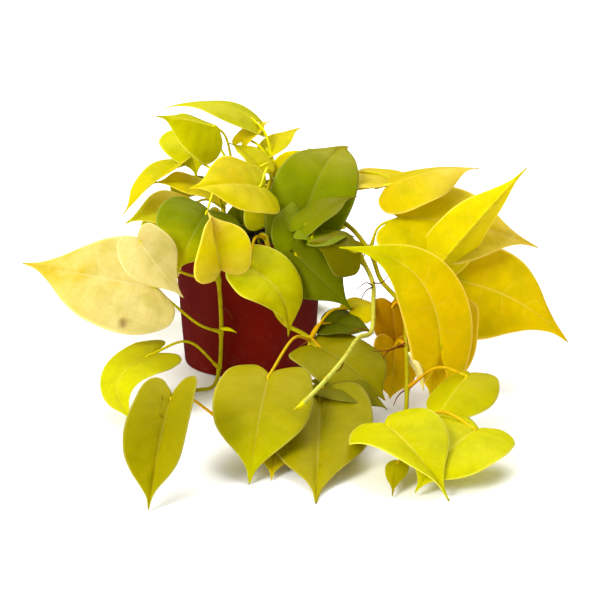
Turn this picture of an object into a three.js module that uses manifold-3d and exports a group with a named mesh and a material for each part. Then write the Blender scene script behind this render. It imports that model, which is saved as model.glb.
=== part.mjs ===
// Potted heartleaf philodendron: a tapered nursery pot, its soil and the leafy stems that grow from it.
// Millimetres, +Z up. The origin is the middle of the pot's underside; the plant's front faces -Y.
import * as THREE from 'three';
import { mergeVertices } from 'three/addons/utils/BufferGeometryUtils.js';
import Module from 'manifold-3d';

const wasm = await Module();
wasm.setup();

// ---- pot and soil
const POT_HEIGHT = 105;
const BASE_RADIUS = 51.5;
const WALL_TOP_RADIUS = 58;
const WALL = 1.6;
const FLOOR = 3;
const FOOT_CHAMFER = 1.5;
const LIP_RADIUS = 60;
const LIP_DEPTH = 9;
const LIP_EDGE = 1;
const ROUND_FACETS = 48;
const DRAIN_HOLES = 6;
const DRAIN_RADIUS = 4;
const DRAIN_CIRCLE = 34;
const DRAIN_FACETS = 12;
const GAP = 0.3;
const SOIL_LEVEL = 97;
const SOIL_MOUND = 4;
const SOIL_BUMP = 1.2;
const SOIL_BUMP_LENGTH = 4;
// The rings of corners on the soil's top, as parts of its radius.
const SOIL_RINGS = [1, 0.8, 0.55, 0.3, 0];
const STEM_HOLE_RADIUS = 2.6;
const STEM_HOLE_FACETS = 8;

// ---- stems and leaves
const STEM_RADIUS = 1.8;
const STEM_SIDES = 6;
const STEM_STEP = 14;
// The stems stand in the soil's holes from the first of these levels up.
const ROOT_LEVELS = [80, 91];
const PETIOLE_RADIUS = 1.15;
const PETIOLE_SIDES = 4;
const PETIOLE_STEPS = 3;
// A petiole with no point of its own arches up by this part of its length.
const PETIOLE_ARCH = 0.22;
// It ends this far along the midrib.
const PETIOLE_END = 3;
const BLADE_THICKNESS = 0.8;
const BLADE_ROWS = 8;
const BLADE_COLUMNS = [-1, 0, 1];
const BLADE_BEND = 0.08;
// The rows of a blade leave the midrib closer together near the petiole.
const RIB_POWER = 1.6;
// Half of the heart-shaped outline, as fractions of the midrib's length and of the full width.
const HALF_HEART = [
  [0, 0], [-0.07, 0.08], [-0.13, 0.2], [-0.1, 0.36], [0.06, 0.475], [0.25, 0.5],
  [0.45, 0.44], [0.61, 0.31], [0.75, 0.15], [0.87, 0.045], [1, 0],
].map(([along, across]) => new THREE.Vector2(along, across));
const heart = new THREE.SplineCurve(HALF_HEART);

const LIME = 0xc8c020;
const YELLOW = 0xd8c42c;
const GREEN = 0x7d8a1c;
const POT_RED = 0x6a120c;
const PEAT = 0x2b1d14;

// One leaf: the node of the stem that it springs from, the two ends of its midrib, the way that its
// upper face looks, its width, and how far its two halves fold up. The shape may add a bend of the
// midrib (towards the face), a bow of it (to the side), a curl of the halves that grows towards the
// tip, a fuller tip half and a point that the petiole passes.
const leaf = (node, base, tip, face, width, fold, shape = {}) => (
  { node, base, tip, face, width, fold, ...shape });

const VINES = [
  {
    // over the rim at the front left, down the pot's wall and along the table
    color: YELLOW,
    route: [[-12, -37, 104], [-14, -48, 109], [-17, -59, 110], [-20, -65, 99], [-19, -64, 80],
      [-18, -63, 60], [-18, -62, 40], [-20, -62, 12], [-24, -78, 3], [-36, -86, 3], [-48, -104, 3]],
    leaves: [
      leaf(3, [-14, -107, 98], [-23, -95, 136], [0.1, -0.95, 0.3], 47, [0, 25],
        { curl: [0, 75], full: 0.4, via: [-16, -86, 94] }),
      leaf(4, [-72, -96, 118], [-41, -100, 76], [-0.3, -0.9, 0.35], 40, [0, -35],
        { via: [-44, -74, 88] }),
      leaf(6, [-60, -84, 79], [-159, -70, 94], [-0.1, -1, 0.3], 76, [-30, 22],
        { bend: 0.06, via: [-33, -76, 50] }),
      leaf(7, [-62, -108, 38], [-63, -167, 3], [0.1, -0.7, 0.7], 46, [0, -5],
        { bow: -0.3, curl: [-110, 60] }),
    ],
  },
  {
    // over the rim in front, out to the table and back to the left
    color: LIME,
    route: [[10, -31, 104], [12, -43, 109], [15, -56, 110], [17, -63, 105], [19, -64, 96],
      [20, -64, 63], [28, -84, 54], [47, -110, 49], [60, -135, 28], [56, -160, 5], [30, -158, 3],
      [0, -148, 3], [-14, -144, 3]],
    leaves: [
      leaf(2, [1, -93, 98], [32, -120, 54], [0.3, -0.6, 0.7], 50, [0, 0], { bow: 0.18, bend: 0.05 }),
      leaf(7, [20, -170, 44], [10, -244, 1], [0, -0.5, 0.9], 62, [0, 0],
        { full: 0.3, via: [36, -136, 58] }),
      leaf(7, [76, -80, 62], [100, -64, 60], [0.3, -0.3, 0.9], 28, [-15, -15], { bend: 0.12 }),
      leaf(7, [58, -92, 55], [92, -98, 50], [0.1, -0.25, 1], 38, [5, 5]),
      leaf(7, [51, -114, 46], [97, -150, 19], [0.15, -0.45, 0.9], 56, [0, 0], { full: 0.8 }),
      leaf(8, [51, -150, 30], [97, -170, 20], [0.1, -0.1, 1], 36, [0, 0], { full: 0.6 }),
      leaf(8, [53, -165, 27], [49, -270, 1], [0, -0.3, 1], 68, [5, 5], { bend: -0.03 }),
      leaf(10, [26, -195, 8], [23, -238, 1], [0, -0.2, 1], 30, [0, 0]),
      leaf(12, [-36, -225, 50], [-45, -278, 1], [0.1, -0.7, 0.7], 44, [5, 45],
        { bow: -0.01, full: 0.6, via: [-32, -150, 20] }),
    ],
  },
  {
    // over the rim at the front right, its growing tip out in front
    color: LIME,
    route: [[36, -18, 104], [44, -28, 112], [54, -38, 113], [68, -54, 110], [85, -70, 95], [92, -78, 81],
      [92, -86, 70], [89, -112, 55], [80, -128, 56], [69, -165, 54], [57, -192, 49], [42, -218, 42]],
    leaves: [
      leaf(1, [35, -66, 101], [77, -92, 65], [-0.2, -0.8, 0.5], 46, [-5, -10], { via: [38, -50, 109] }),
      leaf(2, [46, -75, 112], [80, -54, 110], [0.1, -0.1, 1], 38, [5, 5]),
      leaf(4, [82, -80, 103], [45, -88, 113], [0, -0.35, 0.95], 42, [0, -55]),
      leaf(1, [40, -40, 114], [79, 35, 164], [-0.1, -0.75, 0.65], 64, [0, 0], { bend: 0.22 }),
      leaf(2, [37, -59, 104], [38, -24, 136], [0.2, -0.6, 0.8], 38, [-30, -5]),
      leaf(2, [42, -60, 118], [82, -37, 137], [-0.3, -0.3, 0.9], 34, [5, 5]),
      leaf(0, [14, -26, 112], [28, 12, 138], [0, -0.7, 0.8], 38, [10, 10]),
    ],
  },
  {
    // out to the right and down to the table in front
    color: YELLOW,
    route: [[48, -5, 104], [60, -24, 120], [78, -44, 114], [92, -60, 97], [98, -70, 82],
      [112, -86, 67], [113, -118, 45], [110, -160, 31], [108, -185, 14], [112, -205, 4]],
    leaves: [
      leaf(5, [105, -84, 68], [108, -90, 34], [0.2, -0.95, 0.1], 32, [0, 0], { full: 0.5 }),
      leaf(6, [106, -104, 45], [103, -112, 6], [0.2, -0.95, 0.1], 34, [0, 0], { full: 0.8 }),
      leaf(8, [92, -210, 26], [125, -267, 1], [-0.1, -0.5, 0.9], 58, [0, -5],
        { bend: 0.1, curl: [70, 0] }),
      leaf(7, [150, -162, 42], [118, -198, 10], [-0.2, -0.6, 0.8], 50, [-40, -5]),
      leaf(8, [150, -206, 21], [106, -260, 3], [-0.05, -0.3, 1], 58, [0, 0], { full: 0.3 }),
      leaf(9, [99, -230, 9], [93, -261, 1.2], [-0.1, -0.3, 0.9], 14, [-5, -5]),
    ],
  },
  {
    // out to the right, with the largest leaves
    color: YELLOW,
    route: [[30, 6, 104], [46, -14, 124], [60, -34, 116], [75, -42, 106], [92, -46, 100],
      [115, -54, 92], [135, -64, 82]],
    leaves: [
      leaf(1, [123, 0, 140], [64, -30, 140], [0.1, -0.2, 1], 44, [10, 10], { bend: 0.06 }),
      leaf(1, [104, -30, 143], [174, -20, 155], [-0.2, -0.55, 0.8], 66, [0, -35],
        { via: [72, -22, 137] }),
      leaf(4, [112, -45, 123], [217, -40, 99], [0.2, -0.7, 0.7], 72, [-5, -5], { via: [98, -46, 116] }),
      leaf(6, [136, -80, 90], [201, -60, 161], [-0.3, -0.9, 0.2], 56, [-70, -30]),
      leaf(6, [136, -124, 43], [65, -100, 112], [-0.1, -0.95, 0.3], 46, [0, 0],
        { bend: 0.05, bow: -0.25, via: [138, -98, 78] }),
      leaf(6, [146, -60, 80], [236, -70, 35], [0.2, -0.8, 0.6], 76, [-30, -5], { bow: 0.06 }),
      leaf(5, [146, -88, 67], [130, -120, 10], [-0.1, -0.9, 0.5], 48, [0, 0], { full: 0.8 }),
    ],
  },
  {
    // the crown's left side
    color: YELLOW,
    route: [[-16, 4, 104], [-20, 10, 120], [-18, 16, 138], [-12, 18, 148]],
    leaves: [
      leaf(3, [-22, -5, 184], [-65, -25, 194], [0.1, -0.8, 0.6], 60, [-50, -20], { bend: 0.06 }),
      leaf(3, [-50, 45, 174], [-40, 8, 143], [0.1, -0.6, 0.8], 48, [-5, -5]),
      leaf(2, [-57, 25, 150], [-95, -10, 118], [-0.4, -0.3, 0.9], 42, [10, 20], { bend: 0.06 }),
      leaf(2, [-27, 25, 131], [-74, -5, 141], [0.3, -0.3, 1], 42, [-5, -5]),
      leaf(1, [-47, 20, 118], [-95, -5, 110], [0.2, -0.4, 0.9], 46, [0, 0]),
      leaf(1, [-26, -58, 130], [-47, -92, 92], [0, -0.8, 0.6], 66, [-5, -15], { bend: 0.1 }),
    ],
  },
  {
    // the top of the crown
    color: YELLOW,
    route: [[3, 8, 104], [10, 10, 122], [18, 10, 142], [20, 10, 152]],
    leaves: [
      leaf(2, [13, -40, 144], [-38, -76, 149], [0.4, -0.5, 0.8], 58, [0, 0], { bend: 0.06 }),
      leaf(3, [5, 30, 185], [-66, 25, 195], [0.1, -0.5, 0.9], 40, [-15, 0],
        { bend: 0.14, curl: [-20, 15] }),
      leaf(3, [12, 20, 162], [42, 45, 178], [-0.3, -0.3, 0.9], 30, [-5, -5]),
      leaf(3, [25, 10, 145], [48, 20, 165], [0.1, -0.9, 0.3], 24, [10, 5]),
      leaf(3, [-5, 20, 170], [17, 38, 184], [-0.3, -0.3, 0.9], 24, [5, 5]),
      leaf(3, [11, -5, 151], [-15, 12, 170], [0.4, -0.3, 0.9], 28, [15, 10]),
    ],
  },
  {
    // down behind the pot, to the left
    color: LIME,
    route: [[-20, 24, 104], [-27, 42, 112], [-34, 60, 107], [-38, 68, 90], [-40, 74, 60],
      [-42, 84, 30], [-44, 98, 8], [-38, 120, 3], [-28, 140, 3]],
    leaves: [
      leaf(3, [-62, 92, 96], [-88, 130, 60], [-0.4, 0.6, 0.7], 58, [5, 5]),
      leaf(4, [-52, 100, 66], [-56, 150, 24], [-0.1, 0.7, 0.7], 60, [5, 5]),
      leaf(5, [-75, 100, 40], [-116, 122, 14], [-0.4, 0.5, 0.8], 50, [10, 10]),
      leaf(7, [-46, 150, 22], [-46, 196, 1], [-0.1, 0.4, 0.9], 56, [5, 5]),
    ],
  },
  {
    // down behind the pot, to the right
    color: LIME,
    route: [[20, 27, 104], [26, 44, 112], [30, 61, 107], [34, 68, 88], [34, 74, 55], [30, 84, 25],
      [20, 100, 5], [5, 112, 3], [-8, 122, 3]],
    leaves: [
      leaf(3, [50, 88, 98], [66, 122, 70], [0.4, 0.6, 0.7], 54, [5, 5]),
      leaf(4, [38, 104, 62], [34, 152, 20], [0.1, 0.8, 0.6], 58, [5, 5]),
      leaf(5, [0, 106, 40], [-16, 146, 10], [-0.2, 0.6, 0.8], 50, [8, 8]),
      leaf(6, [40, 136, 18], [46, 182, 1], [0.1, 0.4, 0.9], 54, [5, 5]),
    ],
  },
  {
    // the back of the crown
    color: GREEN,
    route: [[0, 30, 104], [2, 40, 118], [8, 50, 128], [16, 60, 130]],
    leaves: [
      leaf(1, [-28, 58, 132], [-70, 92, 104], [-0.3, 0.5, 0.8], 58, [5, 5]),
      leaf(2, [-5, 80, 128], [-12, 130, 92], [0, 0.6, 0.8], 60, [5, 5]),
      leaf(3, [32, 82, 130], [62, 112, 104], [0.4, 0.5, 0.8], 52, [5, 5]),
      leaf(0, [-3, -14, 107], [-9, -4, 130], [0.1, -0.8, 0.6], 28, [5, 5]),
    ],
  },
];

// ---- making solids

function solidOf(geometry) {
  const bare = geometry.clone();
  bare.deleteAttribute('normal');
  if (bare.getAttribute('uv')) bare.deleteAttribute('uv');
  const merged = mergeVertices(bare, 1e-4);
  const vertProperties = new Float32Array(merged.getAttribute('position').array);
  const triVerts = new Uint32Array(merged.getIndex().array);
  return new wasm.Manifold(new wasm.Mesh({ numProp: 3, vertProperties, triVerts }));
}

function geometryOf(solid) {
  const mesh = solid.getMesh();
  const geometry = new THREE.BufferGeometry();
  geometry.setAttribute('position', new THREE.BufferAttribute(new Float32Array(mesh.vertProperties), 3));
  geometry.setIndex(new THREE.BufferAttribute(new Uint32Array(mesh.triVerts), 1));
  return geometry;
}

function node(name, geometry, color, roughness) {
  const faceted = geometry.toNonIndexed();
  faceted.computeVertexNormals();
  const material = new THREE.MeshStandardMaterial({ color, roughness, metalness: 0, side: THREE.DoubleSide });
  const mesh = new THREE.Mesh(faceted, material);
  mesh.name = name;
  return mesh;
}

const point = (xyz) => new THREE.Vector3(...xyz);

// A round rod of few sides along a smooth curve, closed at both ends.
function rod(points, radius, sides, steps) {
  const section = new THREE.Shape();
  for (let i = 0; i < sides; i += 1) {
    const angle = (i * 2 * Math.PI) / sides;
    const [x, y] = [radius * Math.cos(angle), radius * Math.sin(angle)];
    if (i === 0) section.moveTo(x, y);
    else section.lineTo(x, y);
  }
  const extrudePath = new THREE.CatmullRomCurve3(points, false, 'centripetal');
  return solidOf(new THREE.ExtrudeGeometry(section, { steps, extrudePath }));
}

// ---- leaf blade

// The blade's middle surface: `across` runs from -1 to 1, `row` from the sinus (0) to the tip (1).
// Each row of the blade runs from the midrib out to the margin, as its side veins do.
function bladePoint(shape, across, row) {
  const { bend = BLADE_BEND, bow = 0, curl = [0, 0], full = 0 } = shape;
  const base = point(shape.base);
  const midrib = point(shape.tip).sub(base);
  const length = midrib.length();
  const ahead = midrib.clone().normalize();
  const side = point(shape.face).cross(ahead).normalize();
  const up = ahead.clone().cross(side);
  const margin = heart.getPoint(row);
  const onRib = row ** RIB_POWER;
  const reach = margin.x > 0 ? margin.x ** (1 / (1 + full)) : margin.x;
  const along = onRib + (reach - onRib) * Math.abs(across);
  const out = margin.y * Math.abs(across) * shape.width;
  const curve = up.clone().multiplyScalar(bend * length).addScaledVector(side, bow * length);
  const centre = base.clone().addScaledVector(midrib, along).addScaledVector(curve, 4 * along * (1 - along));
  const tangent = midrib.clone().addScaledVector(curve, 4 * (1 - 2 * along)).normalize();
  const sideHere = side.clone().addScaledVector(tangent, -side.dot(tangent)).normalize();
  const upHere = tangent.clone().cross(sideHere);
  const half = across > 0 ? 1 : 0;
  const fold = THREE.MathUtils.degToRad(shape.fold[half] + curl[half] * Math.max(along, 0));
  centre.addScaledVector(sideHere, Math.sign(across) * out * Math.cos(fold));
  return centre.addScaledVector(upHere, out * Math.sin(fold));
}

// The triangles of the middle surface, with single corners at the sinus and the tip.
function bladeSurface(shape) {
  const points = [bladePoint(shape, 0, 0)];
  const columns = BLADE_COLUMNS.length;
  for (let row = 1; row < BLADE_ROWS; row += 1) {
    for (const across of BLADE_COLUMNS) points.push(bladePoint(shape, across, row / BLADE_ROWS));
  }
  points.push(bladePoint(shape, 0, 1));
  const tip = points.length - 1;
  const at = (row, column) => {
    if (row === 0) return 0;
    return row === BLADE_ROWS ? tip : 1 + (row - 1) * columns + column;
  };
  const faces = [];
  for (let row = 0; row < BLADE_ROWS; row += 1) {
    for (let column = 0; column < columns - 1; column += 1) {
      const corners = [at(row, column), at(row, column + 1), at(row + 1, column + 1), at(row + 1, column)];
      if (row > 0) faces.push([corners[0], corners[1], corners[2]]);
      if (row < BLADE_ROWS - 1) faces.push([corners[0], corners[2], corners[3]]);
    }
  }
  const margins = [0, columns - 1].map((column) => {
    const edge = [];
    for (let row = 0; row <= BLADE_ROWS; row += 1) edge.push(at(row, column));
    return edge;
  });
  return { points, faces, margins };
}

function blade(shape) {
  const { points, faces, margins } = bladeSurface(shape);
  const middle = new THREE.BufferGeometry().setFromPoints(points);
  middle.setIndex(faces.flat());
  middle.computeVertexNormals();
  const normals = middle.getAttribute('normal');
  const lifted = (sign) => points.map((p, i) => {
    const normal = new THREE.Vector3().fromBufferAttribute(normals, i);
    return p.clone().addScaledVector(normal, (sign * BLADE_THICKNESS) / 2);
  });
  const count = points.length;
  const triangles = faces.flatMap(([a, b, c]) => [[a, b, c], [a + count, c + count, b + count]]);
  margins.forEach((edge, index) => {
    for (let i = 0; i + 1 < edge.length; i += 1) {
      const [from, to] = index === 0 ? [edge[i], edge[i + 1]] : [edge[i + 1], edge[i]];
      triangles.push([from, to, to + count], [from, to + count, from + count]);
    }
  });
  const geometry = new THREE.BufferGeometry().setFromPoints([...lifted(1), ...lifted(-1)]);
  geometry.setIndex(triangles.flat());
  return solidOf(geometry);
}

// ---- vines

function petiole(route, shape) {
  const from = point(route[shape.node]);
  const base = point(shape.base);
  const arch = new THREE.Vector3(0, 0, from.distanceTo(base) * PETIOLE_ARCH);
  const via = shape.via ? point(shape.via) : from.clone().add(base).multiplyScalar(0.5).add(arch);
  const end = bladePoint(shape, 0, (PETIOLE_END / base.distanceTo(point(shape.tip))) ** (1 / RIB_POWER));
  return rod([from, via, end], PETIOLE_RADIUS, PETIOLE_SIDES, PETIOLE_STEPS);
}

function stem(route) {
  const [x, y] = route[0];
  const buried = ROOT_LEVELS.map((z) => new THREE.Vector3(x, y, z));
  const points = [...buried, ...route.map(point)];
  const steps = Math.round(new THREE.CatmullRomCurve3(points, false, 'centripetal').getLength() / STEM_STEP);
  return rod(points, STEM_RADIUS, STEM_SIDES, steps);
}

function vine({ route, leaves }) {
  const pieces = [stem(route)];
  for (const shape of leaves) pieces.push(petiole(route, shape), blade(shape));
  return wasm.Manifold.union(pieces);
}

// ---- pot and soil

function cylinder(radius, bottom, top, x, y, facets) {
  const geometry = new THREE.CylinderGeometry(radius, radius, top - bottom, facets);
  geometry.rotateX(Math.PI / 2);
  geometry.translate(x, y, (bottom + top) / 2);
  return solidOf(geometry);
}

function turned(profile) {
  const geometry = new THREE.LatheGeometry(profile.map(([r, z]) => new THREE.Vector2(r, z)), ROUND_FACETS);
  geometry.rotateX(Math.PI / 2);
  return geometry;
}

const wallRadius = (z) => BASE_RADIUS + ((WALL_TOP_RADIUS - BASE_RADIUS) * z) / POT_HEIGHT;

function pot() {
  const lipBottom = POT_HEIGHT - LIP_DEPTH;
  const profile = [
    [0, 0],
    [BASE_RADIUS - FOOT_CHAMFER, 0],
    [wallRadius(FOOT_CHAMFER), FOOT_CHAMFER],
    [wallRadius(lipBottom), lipBottom],
    [LIP_RADIUS, lipBottom + LIP_EDGE],
    [LIP_RADIUS, POT_HEIGHT - LIP_EDGE],
    [LIP_RADIUS - LIP_EDGE, POT_HEIGHT],
    [wallRadius(POT_HEIGHT) - WALL, POT_HEIGHT],
    [wallRadius(FLOOR) - WALL, FLOOR],
    [0, FLOOR],
  ];
  let body = solidOf(turned(profile));
  for (let i = 0; i < DRAIN_HOLES; i += 1) {
    const angle = (i * 2 * Math.PI) / DRAIN_HOLES;
    const [x, y] = [DRAIN_CIRCLE * Math.cos(angle), DRAIN_CIRCLE * Math.sin(angle)];
    body = body.subtract(cylinder(DRAIN_RADIUS, -FLOOR, 2 * FLOOR, x, y, DRAIN_FACETS));
  }
  return body;
}

function soilTop(x, y) {
  const mound = SOIL_MOUND * (1 - (x * x + y * y) / (BASE_RADIUS * BASE_RADIUS));
  return SOIL_LEVEL + mound + SOIL_BUMP * Math.sin(x / SOIL_BUMP_LENGTH) * Math.cos(y / SOIL_BUMP_LENGTH + 1);
}

// The peat, GAP clear of the pot's wall and floor and of each stem.
function soil() {
  const inside = (z) => wallRadius(z) - WALL - GAP;
  const bottom = FLOOR + GAP;
  const rings = SOIL_RINGS.map((part) => [part * inside(SOIL_LEVEL), SOIL_LEVEL]);
  const geometry = turned([[0, bottom], [inside(bottom), bottom], ...rings]);
  const position = geometry.getAttribute('position');
  for (let i = 0; i < position.count; i += 1) {
    if (position.getZ(i) > SOIL_LEVEL - GAP) position.setZ(i, soilTop(position.getX(i), position.getY(i)));
  }
  let body = solidOf(geometry);
  for (const { route } of VINES) {
    const [x, y] = route[0];
    const hole = cylinder(STEM_HOLE_RADIUS, ROOT_LEVELS[0] - GAP, POT_HEIGHT, x, y, STEM_HOLE_FACETS);
    body = body.subtract(hole);
  }
  return body;
}

// ---- the object

const plant = new THREE.Group();
plant.add(node('pot', geometryOf(pot()), POT_RED, 0.42));
plant.add(node('soil', geometryOf(soil()), PEAT, 0.95));
VINES.forEach((each, index) => plant.add(node(`vine_${index + 1}`, geometryOf(vine(each)), each.color, 0.5)));

export default plant;
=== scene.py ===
import math
import random

import bmesh
import bpy
from mathutils import Matrix, Vector, noise


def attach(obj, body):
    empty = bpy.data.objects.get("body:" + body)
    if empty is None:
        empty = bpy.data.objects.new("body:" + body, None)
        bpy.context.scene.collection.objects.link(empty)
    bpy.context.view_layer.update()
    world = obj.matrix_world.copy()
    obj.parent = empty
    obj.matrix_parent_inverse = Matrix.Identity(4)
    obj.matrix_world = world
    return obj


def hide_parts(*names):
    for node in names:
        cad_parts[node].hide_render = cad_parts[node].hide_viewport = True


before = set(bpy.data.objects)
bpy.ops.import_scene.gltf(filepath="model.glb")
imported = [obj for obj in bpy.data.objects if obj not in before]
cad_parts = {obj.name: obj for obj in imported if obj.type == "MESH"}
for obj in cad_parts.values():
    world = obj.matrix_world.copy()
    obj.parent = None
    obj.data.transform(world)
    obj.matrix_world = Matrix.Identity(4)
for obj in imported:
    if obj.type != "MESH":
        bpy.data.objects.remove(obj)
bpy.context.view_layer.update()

# ---------------------------------------- pot
# A thin nursery pot, injection-moulded in red-brown polypropylene, with a rolled lip and six drain
# holes in its foot. The moulded skin has a soft sheen, with dust and dried drops near the foot.

MM = 0.001
# Sizes are in millimetres, and each goes through MM on its way into a mesh.
POT_HEIGHT = 105
BASE_RADIUS = 51.5
WALL_TOP_RADIUS = 58
WALL = 1.6
POT_FLOOR = 3
LIP_RADIUS = 60
LIP_DEPTH = 9
POT_STEPS = 144
DRAIN_HOLES = 6
DRAIN_CIRCLE = 34
DRAIN_RADIUS = 4
DRAIN_SIDES = 24
DRILL_LENGTH = 8


def linear(hex_colour):
    """An sRGB hex colour as linear RGBA."""
    parts = [int(hex_colour[i : i + 2], 16) / 255 for i in (1, 3, 5)]
    return [c / 12.92 if c <= 0.04045 else ((c + 0.055) / 1.055) ** 2.4 for c in parts] + [1.0]


def add_node(tree, kind, inputs=(), **settings):
    """Adds a node, sets its properties, and sets or links its inputs."""
    added = tree.nodes.new(kind)
    for name, value in settings.items():
        setattr(added, name, value)
    for socket, value in dict(inputs).items():
        if isinstance(value, bpy.types.NodeSocket):
            tree.links.new(value, added.inputs[socket])
        else:
            added.inputs[socket].default_value = value
    return added


def new_material(name):
    """An empty material with its output node."""
    material = bpy.data.materials.new(name)
    material.use_nodes = True
    material.node_tree.nodes.clear()
    output = material.node_tree.nodes.new("ShaderNodeOutputMaterial")
    return material, material.node_tree, output


def make_piece(bm, name, material, cad_node):
    """Turns the bmesh into a smooth-shaded piece that stands for its CAD node."""
    for face in bm.faces:
        face.smooth = True
    mesh = bpy.data.meshes.new(name)
    bm.to_mesh(mesh)
    bm.free()
    mesh.materials.append(material)
    piece = bpy.data.objects.new(name, mesh)
    bpy.context.scene.collection.objects.link(piece)
    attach(piece, "root")
    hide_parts(cad_node)
    return piece


def wall_radius(z):
    """The wall's outer radius at a height, without the lip."""
    return BASE_RADIUS + (WALL_TOP_RADIUS - BASE_RADIUS) * z / POT_HEIGHT


def turned(bm, profile, steps):
    """Spins a profile of (radius, height) in millimetres about the pot's axis."""
    points = [bm.verts.new(Vector((r, 0, z)) * MM) for r, z in profile]
    edges = [bm.edges.new(pair) for pair in zip(points, points[1:])]
    bmesh.ops.spin(
        bm,
        geom=points + edges,
        cent=(0, 0, 0),
        axis=(0, 0, 1),
        angle=math.tau,
        steps=steps,
        use_merge=True,
    )
    bmesh.ops.remove_doubles(bm, verts=bm.verts, dist=1e-6)
    bmesh.ops.recalc_face_normals(bm, faces=bm.faces)


# Up the outside from the middle of the foot, over the lip and down the inside.
lip_bottom = POT_HEIGHT - LIP_DEPTH
pot_profile = [
    (0, 0),
    (48.5, 0),
    (50, 0.1),
    (51.1, 0.6),
    (wall_radius(2), 2),
    (wall_radius(40), 40),
    (wall_radius(lip_bottom), lip_bottom),
    (58.6, lip_bottom + 0.2),
    (59.6, lip_bottom + 0.7),
    (LIP_RADIUS, lip_bottom + 1.8),
    (LIP_RADIUS, POT_HEIGHT - 1.4),
    (59.6, POT_HEIGHT - 0.4),
    (58.8, POT_HEIGHT),
    (57.2, POT_HEIGHT),
    (56.6, POT_HEIGHT - 0.4),
    (56.3, POT_HEIGHT - 1.5),
    (wall_radius(POT_FLOOR) - WALL, POT_FLOOR + 1),
    (wall_radius(POT_FLOOR) - WALL - 1.5, POT_FLOOR),
    (0, POT_FLOOR),
]

moulded_plastic, tree, output = new_material("Moulded polypropylene")
place = add_node(tree, "ShaderNodeTexCoord")
height = add_node(tree, "ShaderNodeSeparateXYZ", {0: place.outputs["Object"]})
# Dust and dried drops, about 6 mm across, thicken towards the foot.
drops = add_node(
    tree,
    "ShaderNodeTexNoise",
    {"Vector": place.outputs["Object"], "Scale": 170, "Detail": 5, "Roughness": 0.65},
)
low = add_node(tree, "ShaderNodeMapRange", {0: height.outputs[2], 1: 0.0, 2: 0.07, 3: 0.1, 4: 0.01})
dusty = add_node(
    tree,
    "ShaderNodeMapRange",
    {0: drops.outputs["Fac"], 1: 0.5, 2: 0.72, 3: 0.0, 4: 1.0},
)
dust = add_node(
    tree,
    "ShaderNodeMath",
    {0: dusty.outputs[0], 1: low.outputs[0]},
    operation="MULTIPLY",
)
# Slow changes of the pigment in the melt, a few centimetres long.
flow = add_node(
    tree,
    "ShaderNodeTexNoise",
    {"Vector": place.outputs["Object"], "Scale": 22, "Detail": 2},
)
pigment = add_node(
    tree,
    "ShaderNodeMix",
    {0: flow.outputs["Fac"], 6: linear("#540501"), 7: linear("#780c02")},
    data_type="RGBA",
)
pot_colour = add_node(
    tree,
    "ShaderNodeMix",
    {0: dust.outputs[0], 6: pigment.outputs[2], 7: linear("#a8705c")},
    data_type="RGBA",
)
# The mould's fine grain, drawn 0.5 mm across so that it shows.
grain = add_node(
    tree,
    "ShaderNodeTexNoise",
    {"Vector": place.outputs["Object"], "Scale": 2000, "Detail": 2},
)
grain_bump = add_node(
    tree,
    "ShaderNodeBump",
    {"Strength": 0.12, "Distance": 0.0002, "Height": grain.outputs["Fac"]},
)
# The moulded skin reflects softly, tinted by its red pigment, and more dully under dust.
sheen = add_node(tree, "ShaderNodeMapRange", {0: dust.outputs[0], 1: 0.0, 2: 0.5, 3: 0.36, 4: 0.6})
plastic = add_node(
    tree,
    "ShaderNodeBsdfPrincipled",
    {
        "Base Color": pot_colour.outputs[2],
        "Roughness": sheen.outputs[0],
        "IOR": 1.49,
        "Specular IOR Level": 0.5,
        "Specular Tint": linear("#ff8060"),
        "Normal": grain_bump.outputs[0],
    },
)
tree.links.new(plastic.outputs[0], output.inputs[0])

bm = bmesh.new()
turned(bm, pot_profile, POT_STEPS)
pot = make_piece(bm, "moulded_pot", moulded_plastic, "pot")

# The drain holes are drilled through the foot.
bm = bmesh.new()
for i in range(DRAIN_HOLES):
    turn = i * math.tau / DRAIN_HOLES
    x, y = DRAIN_CIRCLE * math.cos(turn), DRAIN_CIRCLE * math.sin(turn)
    bmesh.ops.create_cone(
        bm,
        cap_ends=True,
        segments=DRAIN_SIDES,
        radius1=DRAIN_RADIUS * MM,
        radius2=DRAIN_RADIUS * MM,
        depth=DRILL_LENGTH * MM,
        matrix=Matrix.Translation(Vector((x, y, POT_FLOOR / 2)) * MM),
    )
drill_mesh = bpy.data.meshes.new("drain_drill")
bm.to_mesh(drill_mesh)
bm.free()
drill = bpy.data.objects.new("drain_drill", drill_mesh)
bpy.context.scene.collection.objects.link(drill)
cut = pot.modifiers.new("drain holes", "BOOLEAN")
cut.object = drill
cut.solver = "EXACT"
bpy.context.view_layer.objects.active = pot
bpy.ops.object.modifier_apply(modifier=cut.name)
bpy.data.objects.remove(drill)

# ---------------------------------------- soil
# Dark peat with crumbs, bark shreds and a few pale grains of perlite, filled loosely to just
# under the lip and a little higher in the middle. It is damp, so it is nearly black and quite matt.

SOIL_LEVEL = 97
SOIL_MOUND = 4
SOIL_BUMP = 1.2
SOIL_BUMP_LENGTH = 4
SOIL_GAP = 0.3
SOIL_RINGS = 36
SOIL_STEPS = 120
SOIL_SKIRT = 90
CLOD_HEIGHT = 1.1
CLOD_SCALE = 0.35
CRUMBS = 900
CRUMB_RADII = (0.5, 1.7)


def soil_top(x, y):
    """The height of the heaped soil, with its soft bumps."""
    mound = SOIL_MOUND * (1 - (x * x + y * y) / (BASE_RADIUS * BASE_RADIUS))
    bumps = SOIL_BUMP * math.sin(x / SOIL_BUMP_LENGTH) * math.cos(y / SOIL_BUMP_LENGTH + 1)
    return SOIL_LEVEL + mound + bumps


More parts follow.
